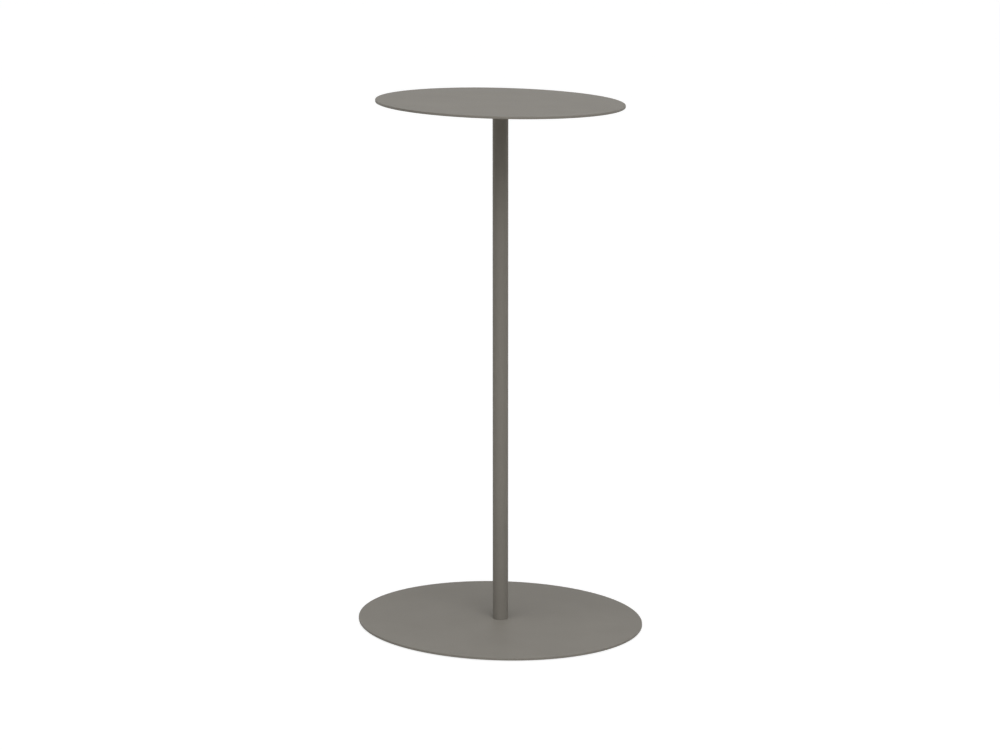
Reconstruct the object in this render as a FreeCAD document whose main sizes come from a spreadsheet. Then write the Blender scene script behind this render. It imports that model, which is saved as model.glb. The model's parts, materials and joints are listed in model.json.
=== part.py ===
"""Wine table: a round sheet-steel top and a larger round base on one slim tube post.

All sizes are in millimetres. The origin is on the floor at the middle of the base, +Z is up.
The post holds a threaded plug at each end. A countersunk screw from below pulls the base
against the post's foot, and another pulls a flange plate onto its head. The flange hangs on
four studs welded under the top, each with a flanged nut, so the top shows no fastener.
"""
import FreeCAD, Part
import os
import Sketcher

# Driving dimensions: name, value, meaning
DIMENSIONS = (
    ("table_height", 645, "floor to the upper face of the top"),
    ("top_diameter", 300, "round top"),
    ("top_thickness", 3, "sheet of the top"),
    ("base_diameter", 350, "round base"),
    ("base_thickness", 3, "sheet of the base"),
    ("rim_radius", 0.6, "rounding along both edges of each sheet"),
    ("post_diameter", 19, "outside of the post tube"),
    ("post_wall", 1.5, "wall of the post tube"),
    ("post_chamfer", 0.2, "outer chamfer at both ends of the post tube"),
    ("plug_length", 25, "threaded plug in each end of the post"),
    ("plug_setback", 0.3, "how far a plug stops short of the post's end"),
    ("plug_gap", 0.05, "radial clearance of a plug in the post"),
    ("thread_gap", 0.05, "radial clearance between a screw thread and its hole"),
    ("thread_chamfer", 0.5, "lead-in chamfer of a threaded hole"),
    ("screw_diameter", 6, "thread of the two countersunk screws"),
    ("screw_length", 22, "whole length of a countersunk screw"),
    ("screw_tip", 0.8, "chamfer at a screw's tip"),
    ("screw_head_diameter", 11.6, "countersunk head"),
    ("screw_head_rim", 0.2, "straight rim of the countersunk head"),
    ("screw_clearance", 0.2, "radial clearance of a screw in a sheet"),
    ("head_recess", 0.1, "how far a head lies below the sheet's face"),
    ("seat_gap", 0.05, "radial clearance between a head's cone and its seat"),
    ("socket_width", 4, "hexagon socket across its flats"),
    ("socket_depth", 2, "depth of the hexagon socket"),
    ("flange_diameter", 80, "plate under the top"),
    ("flange_thickness", 4, "sheet of the plate under the top"),
    ("flange_chamfer", 0.5, "chamfer along the plate's edges"),
    ("stud_count", 4, "welded studs under the top"),
    ("stud_inset", 12, "from the plate's edge to the middle of a stud"),
    ("stud_diameter", 5, "thread of a welded stud"),
    ("stud_run_out", 1.5, "stud thread that stands past its nut"),
    ("stud_tip", 0.6, "chamfer at a stud's tip"),
    ("stud_clearance", 0.25, "radial clearance of a stud in the plate"),
    ("collar_diameter", 6.5, "weld collar at a stud's root"),
    ("collar_height", 0.8, "weld collar at a stud's root"),
    ("collar_clearance", 0.25, "clearance of the plate around a weld collar"),
    ("nut_width", 8, "flanged nut across its flats"),
    ("nut_height", 5, "whole height of a flanged nut"),
    ("nut_flange_diameter", 11.8, "flange of the nut"),
    ("nut_flange_edge", 0.7, "straight edge of the nut's flange"),
    ("nut_flange_rise", 0.8, "slope of the nut's flange up to its hexagon"),
    ("foot_count", 6, "anti-slip rubber feet under the base"),
    ("foot_inset", 22, "from the base's edge to the middle of a foot"),
    ("foot_diameter", 20, "flat rubber foot"),
    ("foot_thickness", 1.5, "flat rubber foot"),
    ("foot_rounding", 0.3, "rounding along a foot's lower edge"),
)

# Angles and ratios that are fixed by the shape of a thing, not chosen
SINK_ANGLE = 90
FULL_TURN = 360
HALF_TURN = 180
HEXAGON_SIDES = 6
NUT_CHAMFER_SLOPE = "tan(30)"

# How a sketch counts the points of a line or circle, and its own axes
START, END, CENTRE = range(1, 4)
X_AXIS, Y_AXIS = range(-1, -3, -1)
ORIGIN_POINT = (X_AXIS, START)

# Two diameters this close are the same one
SAME_SIZE = 1e-6

# The largest share of a thickness that one rounded or chamfered edge may take up
EDGE_SHARE = 0.45

MIDDLE = FreeCAD.Vector(0, 0, 0)
SIDEWAYS = FreeCAD.Vector(1, 0, 0)
UPRIGHT = FreeCAD.Vector(0, 0, 1)

# Heights and diameters that follow from the driving dimensions
BASE_UPPER_FACE = "(dims.foot_thickness + dims.base_thickness)"
TOP_UNDERSIDE = "(dims.table_height - dims.top_thickness)"
FLANGE_UNDERSIDE = f"({TOP_UNDERSIDE} - dims.flange_thickness)"
POST_BORE = "(dims.post_diameter - 2 * dims.post_wall)"
SCREW_HOLE = "(dims.screw_diameter + 2 * dims.screw_clearance)"
SINK_DIAMETER = (
    "(dims.screw_head_diameter"
    " + 2 * (dims.head_recess + dims.screw_head_rim + dims.seat_gap))"
)
THREAD_HOLE = "(dims.screw_diameter + 2 * dims.thread_gap)"
STUD_LENGTH = "(dims.flange_thickness + dims.nut_height + dims.stud_run_out)"
STUD_CIRCLE_RADIUS = "(dims.flange_diameter / 2 - dims.stud_inset)"
FOOT_CIRCLE_RADIUS = "(dims.base_diameter / 2 - dims.foot_inset)"

doc = FreeCAD.newDocument("wine_table")
sheet = doc.addObject("Spreadsheet::Sheet", "dims")


def fill_sheet():
    """One row for each driving dimension: meaning, value, and the alias of the value."""
    for row, (alias, number, meaning) in enumerate(DIMENSIONS, start=1):
        sheet.set(f"A{row}", meaning)
        sheet.set(f"B{row}", str(number))
        sheet.setAlias(f"B{row}", alias)
    doc.recompute()


def value(expression):
    """The present value of an expression in the sheet's names."""
    return float(sheet.evalExpression(expression))


def new_body(label):
    body = doc.addObject("PartDesign::Body", label)
    body.Label = label
    return body


def origin_feature(body, role):
    for feature in body.Origin.OriginFeatures:
        if feature.Role == role:
            return feature
    raise ValueError(f"{body.Label} has no {role}")


def new_sketch(body, name, plane="XY_Plane"):
    sketch = body.newObject("Sketcher::SketchObject", name)
    sketch.AttachmentSupport = (origin_feature(body, plane), [""])
    sketch.MapMode = "FlatFace"
    return sketch


def bind(sketch, name, constraint, expression):
    """Adds a dimension to a sketch and ties it to an expression."""
    sketch.renameConstraint(sketch.addConstraint(constraint), name)
    sketch.setExpression(f"Constraints.{name}", expression)


def add_circle(sketch, name, diameter, distance=None):
    """A circle about the sketch's origin, or with its middle on the x axis at a distance."""
    middle_x = value(distance) if distance else 0
    middle = FreeCAD.Vector(middle_x, 0, 0)
    circle = sketch.addGeometry(Part.Circle(middle, UPRIGHT, value(diameter) / 2))
    if distance:
        sketch.addConstraint(Sketcher.Constraint("PointOnObject", circle, CENTRE, X_AXIS))
        across = Sketcher.Constraint("DistanceX", *ORIGIN_POINT, circle, CENTRE, middle_x)
        bind(sketch, f"{name}_distance", across, distance)
    else:
        sketch.addConstraint(Sketcher.Constraint("Coincident", circle, CENTRE, *ORIGIN_POINT))
    size = Sketcher.Constraint("Diameter", circle, value(diameter))
    bind(sketch, f"{name}_diameter", size, diameter)


def add_hexagon(sketch, width):
    """A regular hexagon about the sketch's origin, with its width across the flats."""
    corner_circle = f"2 * {width} / sqrt(3)"
    radius = value(corner_circle) / 2
    first_corner = FreeCAD.Vector(radius, 0, 0)
    turn = FreeCAD.Rotation(UPRIGHT, FULL_TURN / HEXAGON_SIDES)
    corners = [first_corner]
    for _ in range(HEXAGON_SIDES):
        corners.append(turn.multVec(corners[-1]))
    for start, end in zip(corners, corners[1:]):
        sketch.addGeometry(Part.LineSegment(start, end))
    circle = sketch.addGeometry(Part.Circle(MIDDLE, UPRIGHT, radius), True)
    sketch.addConstraint(Sketcher.Constraint("Coincident", circle, CENTRE, *ORIGIN_POINT))
    for side in range(HEXAGON_SIDES):
        following = (side + 1) % HEXAGON_SIDES
        sketch.addConstraint(Sketcher.Constraint("Coincident", side, END, following, START))
        sketch.addConstraint(Sketcher.Constraint("PointOnObject", side, START, circle))
        if side > 0:
            sketch.addConstraint(Sketcher.Constraint("Equal", 0, side))
    sketch.addConstraint(Sketcher.Constraint("PointOnObject", 0, START, X_AXIS))
    size = Sketcher.Constraint("Diameter", circle, value(corner_circle))
    bind(sketch, "corner_circle", size, corner_circle)


def add_turned_outline(sketch, corners):
    """A closed outline to turn about the upright axis: pairs of radius and height."""
    points = [FreeCAD.Vector(value(radius), value(height), 0) for radius, height in corners]
    count = len(points)
    for index in range(count):
        sketch.addGeometry(Part.LineSegment(points[index], points[(index + 1) % count]))
    for index in range(count):
        following = (index + 1) % count
        sketch.addConstraint(Sketcher.Constraint("Coincident", index, END, following, START))
    for index, (radius, height) in enumerate(corners):
        if radius == "0":
            sketch.addConstraint(Sketcher.Constraint("PointOnObject", index, START, Y_AXIS))
        else:
            across = Sketcher.Constraint("DistanceX", *ORIGIN_POINT, index, START, value(radius))
            bind(sketch, f"radius_{index}", across, radius)
        if height == "0":
            sketch.addConstraint(Sketcher.Constraint("PointOnObject", index, START, X_AXIS))
        else:
            up = Sketcher.Constraint("DistanceY", *ORIGIN_POINT, index, START, value(height))
            bind(sketch, f"height_{index}", up, height)


def add_pad(body, name, sketch, length):
    pad = body.newObject("PartDesign::Pad", name)
    pad.Profile = sketch
    pad.setExpression("Length", length)
    doc.recompute()
    return pad


def add_turned(body, name, kind, corners):
    """A turned solid (Revolution) or a turned cut (Groove)."""
    sketch = new_sketch(body, f"{name}_outline", "XZ_Plane")
    add_turned_outline(sketch, corners)
    feature = body.newObject(f"PartDesign::{kind}", name)
    feature.Profile = sketch
    feature.ReferenceAxis = (sketch, ["V_Axis"])
    feature.Angle = FULL_TURN
    doc.recompute()
    return feature


def add_hole(body, name, diameter, distance=None):
    """A through hole that starts at the body's z = 0 face."""
    sketch = new_sketch(body, f"{name}_place")
    add_circle(sketch, name, diameter, distance)
    doc.recompute()
    hole = body.newObject("PartDesign::Hole", name)
    hole.Profile = sketch
    hole.ThreadType = "None"
    hole.DepthType = "ThroughAll"
    hole.Reversed = True
    hole.setExpression("Diameter", diameter)
    return hole


def countersink(hole, mouth):
    hole.HoleCutType = "Countersink"
    hole.HoleCutCustomValues = True
    hole.setExpression("HoleCutDiameter", mouth)
    hole.HoleCutCountersinkAngle = SINK_ANGLE
    doc.recompute()


def counterbore(hole, mouth, depth):
    hole.HoleCutType = "Counterbore"
    hole.HoleCutCustomValues = True
    hole.setExpression("HoleCutDiameter", mouth)
    hole.setExpression("HoleCutDepth", depth)
    doc.recompute()


def round_edges(feature, diameter):
    """Names of the feature's round edges of one diameter, from the lowest up."""
    found = []
    for number, edge in enumerate(feature.Shape.Edges, start=1):
        if isinstance(edge.Curve, Part.Circle):
            if abs(edge.Curve.Radius * 2 - value(diameter)) < SAME_SIZE:
                found.append((edge.Curve.Center.z, f"Edge{number}"))
    return [name for _, name in sorted(found)]


def dress_edges(body, name, kind, feature, edges, size, thickness):
    """A Fillet or Chamfer, which never takes up more than its share of the thickness."""
    dressed = body.newObject(f"PartDesign::{kind}", name)
    dressed.Base = (feature, edges)
    limited = f"min({size}; {EDGE_SHARE} * {thickness})"
    dressed.setExpression("Radius" if kind == "Fillet" else "Size", limited)
    doc.recompute()
    return dressed


def place(body, height, upside_down=False, radius=None, angle=None):
    """Puts a body at a height, on the axis or on a circle about it, and may turn it over."""
    over = FreeCAD.Rotation(SIDEWAYS, HALF_TURN if upside_down else 0)
    around = FreeCAD.Rotation(UPRIGHT, value(angle) if angle else 0)
    body.Placement = FreeCAD.Placement(MIDDLE, around.multiply(over))
    body.setExpression("Placement.Base.z", height)
    if radius:
        body.setExpression("Placement.Base.x", f"{radius} * cos({angle})")
        body.setExpression("Placement.Base.y", f"{radius} * sin({angle})")


def round_sheet(label, diameter, thickness):
    """A round sheet on its z = 0 face, with both edges rounded."""
    body = new_body(label)
    outline = new_sketch(body, f"{label}_outline")
    add_circle(outline, "rim", diameter)
    pad = add_pad(body, f"{label}_sheet", outline, thickness)
    edges = round_edges(pad, diameter)
    dress_edges(body, f"{label}_rim", "Fillet", pad, edges, "dims.rim_radius", thickness)
    return body


def table_top():
    body = round_sheet("table_top", "dims.top_diameter", "dims.top_thickness")
    place(body, TOP_UNDERSIDE)
    return body


def base_plate():
    body = round_sheet("base_plate", "dims.base_diameter", "dims.base_thickness")
    countersink(add_hole(body, "base_screw_hole", SCREW_HOLE), SINK_DIAMETER)
    place(body, "dims.foot_thickness")
    return body


def top_flange():
    """The plate under the top, made with its upper face at z = 0 and then turned over."""
    body = new_body("top_flange")
    outline = new_sketch(body, "flange_outline")
    add_circle(outline, "rim", "dims.flange_diameter")
    pad = add_pad(body, "flange_sheet", outline, "dims.flange_thickness")
    edges = round_edges(pad, "dims.flange_diameter")
    dress_edges(
        body, "flange_edges", "Chamfer", pad, edges, "dims.flange_chamfer", "dims.flange_thickness"
    )
    countersink(add_hole(body, "flange_screw_hole", SCREW_HOLE), SINK_DIAMETER)
    stud_hole = add_hole(
        body, "stud_hole", "dims.stud_diameter + 2 * dims.stud_clearance", STUD_CIRCLE_RADIUS
    )
    counterbore(
        stud_hole,
        "dims.collar_diameter + 2 * dims.collar_clearance",
        "dims.collar_height + dims.collar_clearance",
    )
    pattern = body.newObject("PartDesign::PolarPattern", "stud_holes")
    pattern.Originals = [stud_hole]
    pattern.Axis = (origin_feature(body, "Z_Axis"), [""])
    pattern.Angle = FULL_TURN
    pattern.setExpression("Occurrences", "dims.stud_count")
    body.Tip = pattern
    doc.recompute()
    place(body, TOP_UNDERSIDE, upside_down=True)
    return body


def post_tube():
    body = new_body("post_tube")
    outline = new_sketch(body, "tube_outline")
    add_circle(outline, "outside", "dims.post_diameter")
    add_circle(outline, "bore", POST_BORE)
    tube = add_pad(body, "tube", outline, f"{FLANGE_UNDERSIDE} - {BASE_UPPER_FACE}")
    edges = round_edges(tube, "dims.post_diameter")
    dress_edges(
        body, "tube_ends", "Chamfer", tube, edges, "dims.post_chamfer", "dims.post_wall"
    )
    place(body, BASE_UPPER_FACE)
    return body


def post_plug(label, sheet_thickness):
    """A threaded plug with its mouth at z = 0, clear of the screw's cone past the sheet."""
    body = new_body(label)
    outline = new_sketch(body, f"{label}_outline")
    add_circle(outline, "outside", f"{POST_BORE} - 2 * dims.plug_gap")
    add_pad(body, f"{label}_bar", outline, "dims.plug_length")
    lead_in = f"{THREAD_HOLE} + 2 * dims.thread_chamfer"
    cone_left = f"{SINK_DIAMETER} - 2 * ({sheet_thickness} + dims.plug_setback)"
    countersink(add_hole(body, f"{label}_thread", THREAD_HOLE), f"max({lead_in}; {cone_left})")
    return body


def countersunk_screw(label):
    """A screw with the face of its head at z = 0 and its thread upwards."""
    body = new_body(label)
    head_radius = "dims.screw_head_diameter / 2"
    thread_radius = "dims.screw_diameter / 2"
    cone_end = f"dims.screw_head_rim + {head_radius} - {thread_radius}"
    tip_radius = f"{thread_radius} - dims.screw_tip"
    corners = (
        ("0", "0"),
        (head_radius, "0"),
        (head_radius, "dims.screw_head_rim"),
        (thread_radius, cone_end),
        (thread_radius, "dims.screw_length - dims.screw_tip"),
        (tip_radius, "dims.screw_length"),
        ("0", "dims.screw_length"),
    )
    add_turned(body, f"{label}_shape", "Revolution", corners)
    hexagon = new_sketch(body, f"{label}_hexagon")
    add_hexagon(hexagon, "dims.socket_width")
    socket = body.newObject("PartDesign::Pocket", f"{label}_socket")
    socket.Profile = hexagon
    socket.Reversed = True
    socket.setExpression("Length", "dims.socket_depth")
    doc.recompute()
    return body


def weld_stud(label):
    """A threaded stud with its weld collar at z = 0 and its thread upwards."""
    body = new_body(label)
    collar_radius = "dims.collar_diameter / 2"
    thread_radius = "dims.stud_diameter / 2"
    corners = (
        ("0", "0"),
        (collar_radius, "0"),
        (collar_radius, "dims.collar_height"),
        (thread_radius, "dims.collar_height"),
        (thread_radius, f"{STUD_LENGTH} - dims.stud_tip"),
        (f"{thread_radius} - dims.stud_tip", STUD_LENGTH),
        ("0", STUD_LENGTH),
    )
    add_turned(body, f"{label}_shape", "Revolution", corners)
    return body


def flange_nut(label):
    """A hexagon nut with a flange, seated on z = 0."""
    body = new_body(label)
    hexagon = new_sketch(body, f"{label}_hexagon")
    add_hexagon(hexagon, "dims.nut_width")
    add_pad(body, f"{label}_body", hexagon, "dims.nut_height")
    flange_radius = "dims.nut_flange_diameter / 2"
    flat_radius = "dims.nut_width / 2"
    slope_end = "dims.nut_flange_edge + dims.nut_flange_rise"
    flange_corners = (
        ("0", "0"),
        (flange_radius, "0"),
        (flange_radius, "dims.nut_flange_edge"),
        (flat_radius, slope_end),
        ("0", slope_end),
    )
    add_turned(body, f"{label}_flange", "Revolution", flange_corners)
    corner_drop = f"({flange_radius} - {flat_radius}) * {NUT_CHAMFER_SLOPE}"
    chamfer_corners = (
        (flat_radius, "dims.nut_height"),
        (flange_radius, "dims.nut_height"),
        (flange_radius, f"dims.nut_height - {corner_drop}"),
    )
    add_turned(body, f"{label}_corners", "Groove", chamfer_corners)
    thread_hole = "dims.stud_diameter + 2 * dims.thread_gap"
    lead_in = f"{thread_hole} + 2 * dims.thread_chamfer"
    countersink(add_hole(body, f"{label}_thread", thread_hole), lead_in)
    return body


def rubber_foot(label):
    """A flat round foot on its lower face at z = 0, rounded where it meets the floor."""
    body = new_body(label)
    outline = new_sketch(body, f"{label}_outline")
    add_circle(outline, "rim", "dims.foot_diameter")
    disc = add_pad(body, f"{label}_disc", outline, "dims.foot_thickness")
    lower_edge = round_edges(disc, "dims.foot_diameter")[:1]
    dress_edges(
        body, f"{label}_rim", "Fillet", disc, lower_edge, "dims.foot_rounding", "dims.foot_thickness"
    )
    return body


def angle_of(index, count):
    """Angle of one of several pieces on a circle, where the first lies on the x axis."""
    return f"{index} * {FULL_TURN} / {count}"


def fasten_top():
    """Studs under the top and the nuts that hold the flange on them."""
    pieces = []
    for index in range(int(value("dims.stud_count"))):
        angle = angle_of(index, "dims.stud_count")
        stud = weld_stud(f"weld_stud_{index + 1}")
        place(stud, TOP_UNDERSIDE, True, STUD_CIRCLE_RADIUS, angle)
        nut = flange_nut(f"flange_nut_{index + 1}")
        place(nut, FLANGE_UNDERSIDE, True, STUD_CIRCLE_RADIUS, angle)
        pieces += [stud, nut]
    return pieces


def fasten_post():
    """Plugs in the post's ends, and the screws that pull the base and the flange onto it."""
    lower_plug = post_plug("lower_plug", "dims.base_thickness")
    place(lower_plug, f"{BASE_UPPER_FACE} + dims.plug_setback")
    base_screw = countersunk_screw("base_screw")
    place(base_screw, "dims.foot_thickness + dims.head_recess")
    upper_plug = post_plug("upper_plug", "dims.flange_thickness")
    place(upper_plug, f"{FLANGE_UNDERSIDE} - dims.plug_setback", upside_down=True)
    flange_screw = countersunk_screw("flange_screw")
    place(flange_screw, f"{TOP_UNDERSIDE} - dims.head_recess", upside_down=True)
    return [lower_plug, base_screw, upper_plug, flange_screw]


def rubber_feet():
    pieces = []
    for index in range(int(value("dims.foot_count"))):
        foot = rubber_foot(f"rubber_foot_{index + 1}")
        place(foot, "0", False, FOOT_CIRCLE_RADIUS, angle_of(index, "dims.foot_count"))
        pieces.append(foot)
    return pieces


def check(pieces):
    """Stops before anything is written if a feature failed or a piece is no single solid."""
    for thing in doc.Objects:
        if "Invalid" in thing.State or "Error" in thing.State:
            raise RuntimeError(f"{thing.Label} failed: {thing.State}")
    for piece in pieces:
        shape = piece.Shape
        if shape.isNull() or not shape.isValid() or len(shape.Solids) != 1:
            raise RuntimeError(f"{piece.Label} has no valid single solid")


def main():
    fill_sheet()
    pieces = [table_top(), top_flange(), post_tube(), base_plate()]
    pieces += fasten_top() + fasten_post() + rubber_feet()
    doc.recompute()
    check(pieces)
    os.makedirs("parts", exist_ok=True)
    for piece in pieces:
        piece.Shape.exportStep(f"parts/{piece.Label}.step")
        box = piece.Shape.optimalBoundingBox()
        print(
            f"{piece.Label}: {piece.Shape.Volume:.1f} mm3,"
            f" {box.XLength:.2f} x {box.YLength:.2f} mm, z {box.ZMin:.2f} to {box.ZMax:.2f}"
        )


main()
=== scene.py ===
"""Looks of the wine table: finishes, fine detail, studio light and the photo's camera.

Everything is in metres in the model's own frame: the origin is on the floor under the post,
+Z is up, and the photo's camera looks along +Y.
"""
import json
import math

import bmesh
import bpy
from mathutils import Matrix, Vector


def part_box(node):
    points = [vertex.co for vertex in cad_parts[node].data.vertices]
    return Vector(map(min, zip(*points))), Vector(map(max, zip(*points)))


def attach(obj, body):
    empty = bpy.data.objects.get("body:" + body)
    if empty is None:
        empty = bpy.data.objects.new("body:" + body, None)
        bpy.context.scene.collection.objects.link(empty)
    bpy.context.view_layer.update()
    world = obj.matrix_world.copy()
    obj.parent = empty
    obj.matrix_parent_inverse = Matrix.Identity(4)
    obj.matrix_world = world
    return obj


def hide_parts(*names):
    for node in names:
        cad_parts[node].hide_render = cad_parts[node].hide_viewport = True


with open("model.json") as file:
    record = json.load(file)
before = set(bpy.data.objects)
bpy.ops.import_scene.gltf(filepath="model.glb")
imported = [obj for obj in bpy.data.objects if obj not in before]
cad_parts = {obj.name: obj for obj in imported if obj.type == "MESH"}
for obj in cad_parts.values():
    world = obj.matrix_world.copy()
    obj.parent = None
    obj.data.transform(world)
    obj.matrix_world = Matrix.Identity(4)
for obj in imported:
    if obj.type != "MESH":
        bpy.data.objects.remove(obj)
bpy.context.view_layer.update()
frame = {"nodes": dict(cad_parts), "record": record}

MM = 0.001

# The one body that every piece rides on
BODY = "root"

# The photo's camera, fitted to the outlines of the top, the base and the post
CAMERA_DISTANCE = 3.843
CAMERA_HEIGHT = 1.0877
CAMERA_PITCH = math.radians(11.427)
CAMERA_TURN = math.radians(0.008)
CAMERA_LENS_MM = 115.9
SENSOR_MM = 36.0
# The photo is slightly skewed: level lines drop to the right while the post stays upright
PHOTO_SKEW = 0.0247

# Studio light: a broad key from the front, a faint dome, and soft boxes in front and low behind
KEY_STRENGTH = 1.96
KEY_ELEVATION = math.radians(60)
KEY_SOFTNESS = math.radians(70)
DOME_STRENGTH = 0.005
# Soft boxes: name, place, size of the square, power
SOFT_BOXES = (
    ("front_box", Vector((0.5, -1.5, 1.4)), 1.0, 6.0),
    ("left_box", Vector((-1.3, 0.9, 0.45)), 0.8, 2.2),
    ("right_box", Vector((1.3, 0.9, 0.45)), 0.8, 2.2),
)
BOX_AIM = Vector((0, 0, 0.4))

# The floor lights the table as warm white paper, and looks white with a soft shadow
FLOOR_SIZE = 80.0
FLOOR_BOUNCE = (0.72, 0.7, 0.66)
FLOOR_SHADED = 0.32
FLOOR_GLOW = 0.83

# Weld stud: metric thread, and the plain neck between the thread and the weld collar
STUD_RADIUS = 2.5 * MM
STUD_PITCH = 0.8 * MM
STUD_THREAD_DEPTH = 0.49 * MM
STUD_NECK = 0.5 * MM
STUD_TIP = 0.6 * MM
COLLAR_HEIGHT = 0.8 * MM
# One turn of the thread: share of the pitch, and share of the thread's depth
THREAD_FORM = ((0.0, 0.0), (0.25, 0.0), (0.5625, 1.0), (0.6875, 1.0))
STUD_SIDES = 48

# Rubber foot: ribs on its lower face
FOOT_RIB_RADII = (2.5 * MM, 5.0 * MM, 7.5 * MM)
FOOT_RIB_CREST = 0.5 * MM
FOOT_RIB_SLOPE = 0.25 * MM
FOOT_GROOVE = 0.35 * MM
FOOT_ROUNDING = 0.3 * MM
FOOT_ROUNDING_STEPS = 4
FOOT_SIDES = 96

# Where nearly all of a noise texture's values lie
NOISE_SPAN = (0.3, 0.7)
# How soon a wave texture of scale 1 repeats
WAVE_LENGTH = math.pi / 10
# Spacing of the marks that a lathe leaves on the plugs
TOOL_MARK = 0.3 * MM

SHARP_ANGLE = math.radians(35)
MERGE_DISTANCE = 0.001 * MM


class Finish:
    """A procedural material in the making: a shader, and textures in the object's own space."""

    def __init__(self, name, metallic=0.0):
        self.material = bpy.data.materials.new(name)
        self.material.use_nodes = True
        self.tree = self.material.node_tree
        self.shader = self.tree.nodes["Principled BSDF"]
        self.shader.inputs["Metallic"].default_value = metallic
        self.place = self.add("ShaderNodeTexCoord").outputs["Object"]
        self.normal = None

    def add(self, kind):
        return self.tree.nodes.new(kind)

    def link(self, source, target):
        self.tree.links.new(source, target)

    def noise(self, size, detail=2.0):
        """Soft noise with features of about this size."""
        texture = self.add("ShaderNodeTexNoise")
        texture.inputs["Scale"].default_value = 1 / size
        texture.inputs["Detail"].default_value = detail
        self.link(self.place, texture.inputs["Vector"])
        return texture.outputs["Fac"]

    def mix_of(self, first, second, share):
        """The first texture with a share of the second mixed in."""
        mix = self.add("ShaderNodeMix")
        mix.inputs["Factor"].default_value = share
        self.link(first, mix.inputs["A"])
        self.link(second, mix.inputs["B"])
        return mix.outputs["Result"]

    def colour(self, amount, dark, light):
        """Base colour between two tones, by a noise."""
        tones = self.add("ShaderNodeValToRGB")
        for element, place, tone in zip(tones.color_ramp.elements, NOISE_SPAN, (dark, light)):
            element.position = place
            element.color = (*tone, 1)
        self.link(amount, tones.inputs["Fac"])
        self.link(tones.outputs["Color"], self.shader.inputs["Base Color"])

    def roughness(self, amount, low, high):
        """Roughness from low to high, by a noise."""
        stretch = self.add("ShaderNodeMapRange")
        for side, (least, most) in (("From", NOISE_SPAN), ("To", (low, high))):
            stretch.inputs[f"{side} Min"].default_value = least
            stretch.inputs[f"{side} Max"].default_value = most
        self.link(amount, stretch.inputs["Value"])
        self.link(stretch.outputs["Result"], self.shader.inputs["Roughness"])

    def bump(self, height, depth):
        """Adds relief of the given depth over any that is there."""
        relief = self.add("ShaderNodeBump")
        relief.inputs["Distance"].default_value = depth
        self.link(height, relief.inputs["Height"])
        if self.normal:
            self.link(self.normal, relief.inputs["Normal"])
        self.normal = relief.outputs["Normal"]
        self.link(self.normal, self.shader.inputs["Normal"])


def shades(colour, change):
    """A darker and a lighter tone of a colour."""
    return [[channel * factor for channel in colour] for factor in (1 - change, 1 + change)]


def powder_coat(colour):
    """Low-sheen powder coat: a fine sand texture over a faint orange peel, slightly cloudy."""
    finish = Finish("powder_coat_warm_grey")
    finish.shader.inputs["Specular IOR Level"].default_value = 0.15
    sand = finish.noise(size=0.7 * MM, detail=3)
    peel = finish.noise(size=5 * MM)
    cloud = finish.noise(size=80 * MM)
    finish.colour(finish.mix_of(sand, cloud, share=0.4), *shades(colour, change=0.08))
    finish.roughness(sand, low=0.54, high=0.66)
    finish.bump(peel, depth=0.1 * MM)
    finish.bump(sand, depth=0.12 * MM)
    return finish.material


def zinc_plate(colour):
    """Bright zinc: a dull silver with fine crystals."""
    finish = Finish("zinc_plate", metallic=1.0)
    crystals = finish.noise(size=0.25 * MM, detail=4)
    stain = finish.noise(size=4 * MM)
    finish.colour(finish.mix_of(stain, crystals, share=0.3), *shades(colour, change=0.1))
    finish.roughness(stain, low=0.26, high=0.42)
    finish.bump(crystals, depth=0.006 * MM)
    return finish.material


def copper_flash(colour):
    """A thin copper wash over steel, patchy and slightly dull."""
    finish = Finish("copper_flash", metallic=1.0)
    patch = finish.noise(size=1.5 * MM, detail=3)
    scuff = finish.noise(size=0.2 * MM, detail=3)
    finish.colour(patch, *shades(colour, change=0.22))
    finish.roughness(finish.mix_of(patch, scuff, share=0.5), low=0.28, high=0.5)
    finish.bump(scuff, depth=0.008 * MM)
    return finish.material


def turned_steel(colour):
    """Bright bar turned on a lathe: fine rings and a faint oil tint."""
    finish = Finish("turned_steel", metallic=1.0)
    tint = finish.noise(size=6 * MM)
    rings = finish.add("ShaderNodeTexWave")
    rings.wave_type = "BANDS"
    rings.bands_direction = "Z"
    rings.inputs["Scale"].default_value = WAVE_LENGTH / TOOL_MARK
    rings.inputs["Distortion"].default_value = 1.0
    finish.link(finish.place, rings.inputs["Vector"])
    finish.colour(tint, *shades(colour, change=0.12))
    finish.roughness(tint, low=0.3, high=0.45)
    finish.bump(rings.outputs["Fac"], depth=0.005 * MM)
    return finish.material


def moulded_rubber(colour):
    """Matt black rubber with a fine moulded grain and a little dust."""
    finish = Finish("moulded_rubber")
    finish.shader.inputs["Specular IOR Level"].default_value = 0.4
    grain = finish.noise(size=0.3 * MM, detail=3)
    dust = finish.noise(size=3 * MM, detail=3)
    finish.colour(dust, *shades(colour, change=0.3))
    finish.roughness(grain, low=0.72, high=0.9)
    finish.bump(grain, depth=0.03 * MM)
    return finish.material


FINISHES = {
    "powder_coat": powder_coat,
    "zinc_steel": zinc_plate,
    "coppered_steel": copper_flash,
    "plain_steel": turned_steel,
    "black_rubber": moulded_rubber,
}


def make_finishes():
    """One material for each slot of the record, in the slot's colour."""
    return {
        entry["slot"]: FINISHES[entry["slot"]](entry["base_color"])
        for entry in frame["record"]["materials"]
    }


def slot_of(node):
    return next(part["material_slot"] for part in frame["record"]["subparts"] if part["node"] == node)


def add_object(name, data):
    """A new object in the scene that holds the data."""
    thing = bpy.data.objects.new(name, data)
    bpy.context.scene.collection.objects.link(thing)
    return thing


def ring(radius, height, sides):
    """A closed ring of (radius, height) pairs, one for each corner, the first repeated at the end."""
    return [(radius, height)] * (sides + 1)


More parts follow.
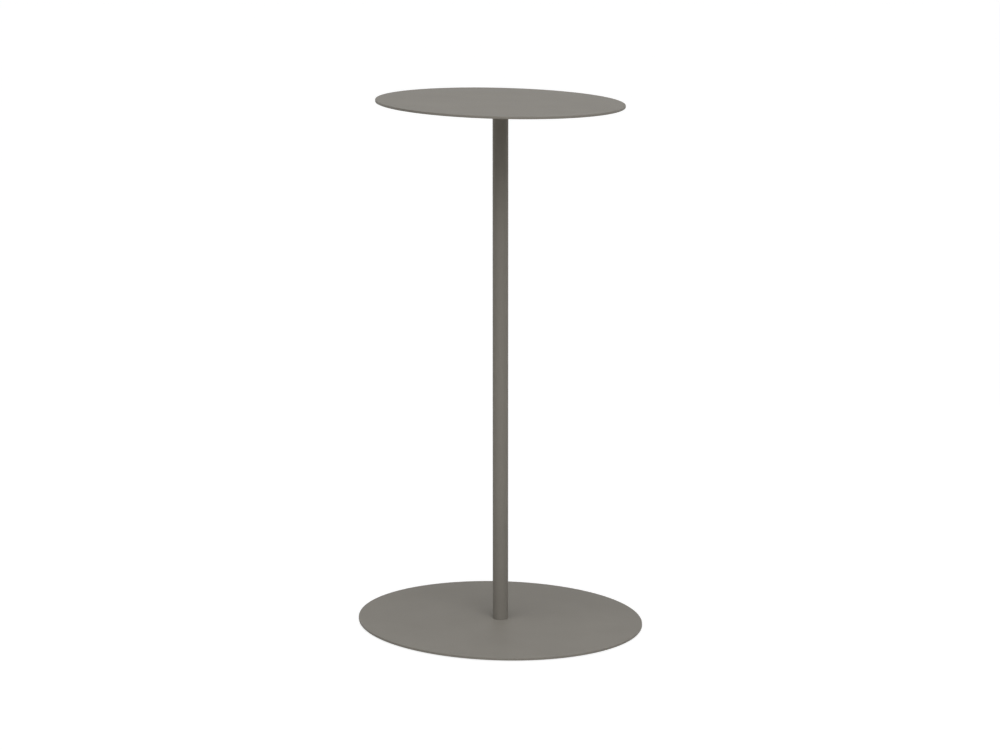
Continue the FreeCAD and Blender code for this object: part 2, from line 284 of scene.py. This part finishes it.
def skin(rows, centre):
    """A mesh through rows that go once round a vertical axis. Corners that meet are merged."""
    sides = len(rows[0]) - 1
    shape = bmesh.new()
    corners = []
    for row in rows:
        corners.append([])
        for step, (radius, height) in enumerate(row):
            angle = 2 * math.pi * (step % sides) / sides
            place = (centre.x + radius * math.cos(angle), centre.y + radius * math.sin(angle), height)
            corners[-1].append(shape.verts.new(place))
    for lower, upper in zip(corners, corners[1:]):
        for step in range(sides):
            shape.faces.new((lower[step], lower[step + 1], upper[step + 1], upper[step]))
    bmesh.ops.remove_doubles(shape, verts=shape.verts, dist=MERGE_DISTANCE)
    bmesh.ops.dissolve_degenerate(shape, edges=shape.edges, dist=MERGE_DISTANCE)
    bmesh.ops.recalc_face_normals(shape, faces=shape.faces)
    mesh = bpy.data.meshes.new("skin")
    shape.to_mesh(mesh)
    shape.free()
    mesh.shade_smooth()
    mesh.set_sharp_from_angle(angle=SHARP_ANGLE)
    return mesh


def stand_in(name, mesh, node, finishes):
    """Puts a detailed piece in the place of a plain node."""
    piece = add_object(name, mesh)
    mesh.name = name
    mesh.materials.append(finishes[slot_of(node)])
    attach(piece, BODY)
    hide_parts(node)


def node_round(node):
    """Centre, radius, lowest and highest point of a round upright node."""
    low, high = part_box(node)
    return (low + high) / 2, (high.x - low.x) / 2, low.z, high.z


def threaded_stud(node):
    """A weld stud with its thread cut, its point down and its collar against the top."""
    centre, collar_radius, tip, seat = node_round(node)
    root_radius = STUD_RADIUS - STUD_THREAD_DEPTH
    tip_radius = STUD_RADIUS - STUD_TIP
    collar = seat - COLLAR_HEIGHT
    thread_end = collar - STUD_NECK
    turns = math.ceil((thread_end - tip) / STUD_PITCH) + 1
    rows = [ring(0, tip, STUD_SIDES), ring(tip_radius, tip, STUD_SIDES)]
    # The thread starts a turn below the tip and runs past the neck, and is cut off level at both
    for turn in range(-1, turns):
        for along, rise in THREAD_FORM:
            row = []
            for step in range(STUD_SIDES + 1):
                height = tip + (turn + along + step / STUD_SIDES) * STUD_PITCH
                height = min(max(height, tip), thread_end)
                radius = root_radius + rise * STUD_THREAD_DEPTH if height < thread_end else root_radius
                chamfer_radius = tip_radius + height - tip
                row.append((min(radius, chamfer_radius), height))
            rows.append(row)
    neck_and_collar = ((root_radius, collar), (collar_radius, collar), (collar_radius, seat), (0, seat))
    rows += [ring(radius, height, STUD_SIDES) for radius, height in neck_and_collar]
    return skin(rows, centre)


def ribbed_foot(node):
    """A moulded foot with round ribs underneath and a rounded lower rim."""
    centre, radius, floor, seat = node_round(node)
    groove = floor + FOOT_GROOVE
    half_crest = FOOT_RIB_CREST / 2
    half_root = half_crest + FOOT_RIB_SLOPE
    profile = [(0, groove)]
    for rib in FOOT_RIB_RADII:
        profile += [
            (rib - half_root, groove),
            (rib - half_crest, floor),
            (rib + half_crest, floor),
            (rib + half_root, groove),
        ]
    rim = radius - FOOT_ROUNDING
    rim_crest = rim - FOOT_RIB_CREST
    profile += [(rim_crest - FOOT_RIB_SLOPE, groove), (rim_crest, floor)]
    for step in range(FOOT_ROUNDING_STEPS + 1):
        turn = math.pi / 2 * step / FOOT_ROUNDING_STEPS
        profile.append((rim + FOOT_ROUNDING * math.sin(turn), floor + FOOT_ROUNDING * (1 - math.cos(turn))))
    profile += [(radius, seat), (0, seat)]
    return skin([ring(across, height, FOOT_SIDES) for across, height in profile], centre)


def detail_pieces(finishes):
    """Detailed pieces in the place of the plain studs and feet."""
    for node in sorted(frame["nodes"]):
        if node.startswith("weld_stud"):
            stand_in(f"threaded_{node}", threaded_stud(node), node, finishes)
        elif node.startswith("rubber_foot"):
            stand_in(f"ribbed_{node}", ribbed_foot(node), node, finishes)


def seen_directly(nodes, links):
    """1 for what the camera, a reflection or a view through glass sees, 0 for light."""
    path = nodes.new("ShaderNodeLightPath")
    seen = path.outputs["Is Camera Ray"]
    for ray in ("Is Glossy Ray", "Is Transmission Ray"):
        either = nodes.new("ShaderNodeMath")
        either.operation = "MAXIMUM"
        links.new(seen, either.inputs[0])
        links.new(path.outputs[ray], either.inputs[1])
        seen = either.outputs[0]
    return seen


def studio_world():
    """Faint dome light. The camera, mirrors and glass see plain white."""
    world = bpy.data.worlds.new("studio")
    bpy.context.scene.world = world
    world.use_nodes = True
    nodes = world.node_tree.nodes
    links = world.node_tree.links
    dome = nodes["Background"]
    dome.inputs["Color"].default_value = (1, 1, 1, 1)
    dome.inputs["Strength"].default_value = DOME_STRENGTH
    white = nodes.new("ShaderNodeBackground")
    white.inputs["Color"].default_value = (1, 1, 1, 1)
    mix = nodes.new("ShaderNodeMixShader")
    links.new(seen_directly(nodes, links), mix.inputs["Fac"])
    links.new(dome.outputs["Background"], mix.inputs[1])
    links.new(white.outputs["Background"], mix.inputs[2])
    links.new(mix.outputs["Shader"], nodes["World Output"].inputs["Surface"])


def studio_floor():
    """A pale floor that looks white around the object and keeps its shadow."""
    mesh = bpy.data.meshes.new("floor")
    half = FLOOR_SIZE / 2
    corners = [(-half, -half, 0), (half, -half, 0), (half, half, 0), (-half, half, 0)]
    mesh.from_pydata(corners, [], [(0, 1, 2, 3)])
    add_object("floor", mesh)
    material = bpy.data.materials.new("pale_floor")
    material.use_nodes = True
    nodes = material.node_tree.nodes
    links = material.node_tree.links
    nodes.remove(nodes["Principled BSDF"])
    bounce = nodes.new("ShaderNodeBsdfDiffuse")
    bounce.inputs["Color"].default_value = (*FLOOR_BOUNCE, 1)
    shaded = nodes.new("ShaderNodeBsdfDiffuse")
    shaded.inputs["Color"].default_value = (FLOOR_SHADED, FLOOR_SHADED, FLOOR_SHADED, 1)
    glow = nodes.new("ShaderNodeEmission")
    glow.inputs["Strength"].default_value = FLOOR_GLOW
    white = nodes.new("ShaderNodeAddShader")
    links.new(shaded.outputs["BSDF"], white.inputs[0])
    links.new(glow.outputs["Emission"], white.inputs[1])
    mix = nodes.new("ShaderNodeMixShader")
    links.new(seen_directly(nodes, links), mix.inputs["Fac"])
    links.new(bounce.outputs["BSDF"], mix.inputs[1])
    links.new(white.outputs["Shader"], mix.inputs[2])
    links.new(mix.outputs["Shader"], nodes["Material Output"].inputs["Surface"])
    mesh.materials.append(material)


def key_light():
    """A broad distant light from the front."""
    light = bpy.data.lights.new("key", "SUN")
    light.energy = KEY_STRENGTH
    light.angle = KEY_SOFTNESS
    lamp = add_object("key", light)
    towards = Vector((0, -math.cos(KEY_ELEVATION), math.sin(KEY_ELEVATION)))
    lamp.rotation_euler = towards.to_track_quat("Z", "Y").to_euler()


def soft_box(name, place, size, power):
    """A square light near the table that no camera sees."""
    light = bpy.data.lights.new(name, "AREA")
    light.energy = power
    light.size = size
    lamp = add_object(name, light)
    lamp.visible_camera = False
    lamp.location = place
    lamp.rotation_euler = (BOX_AIM - place).to_track_quat("-Z", "Y").to_euler()


def photo_camera():
    """The photo's view. The skew is a small shear of the camera, held by its parent link."""
    data = bpy.data.cameras.new("photo_camera")
    data.lens = CAMERA_LENS_MM
    data.sensor_width = SENSOR_MM
    data.clip_end = 2 * FLOOR_SIZE
    camera = add_object("photo_camera", data)
    camera.location = (0, -CAMERA_DISTANCE, CAMERA_HEIGHT)
    camera.rotation_euler = (math.pi / 2 - CAMERA_PITCH, 0, CAMERA_TURN)
    camera.parent = add_object("camera_holder", None)
    place = camera.matrix_basis.copy()
    shear = Matrix.Identity(4)
    shear[1][0] = PHOTO_SKEW
    camera.matrix_parent_inverse = place @ shear @ place.inverted()
    bpy.context.scene.camera = camera


def main():
    bpy.context.scene.view_settings.view_transform = "Standard"
    finishes = make_finishes()
    for name, node in frame["nodes"].items():
        node.material_slots[0].material = finishes[slot_of(name)]
    detail_pieces(finishes)
    studio_world()
    studio_floor()
    key_light()
    for box in SOFT_BOXES:
        soft_box(*box)
    photo_camera()


main()
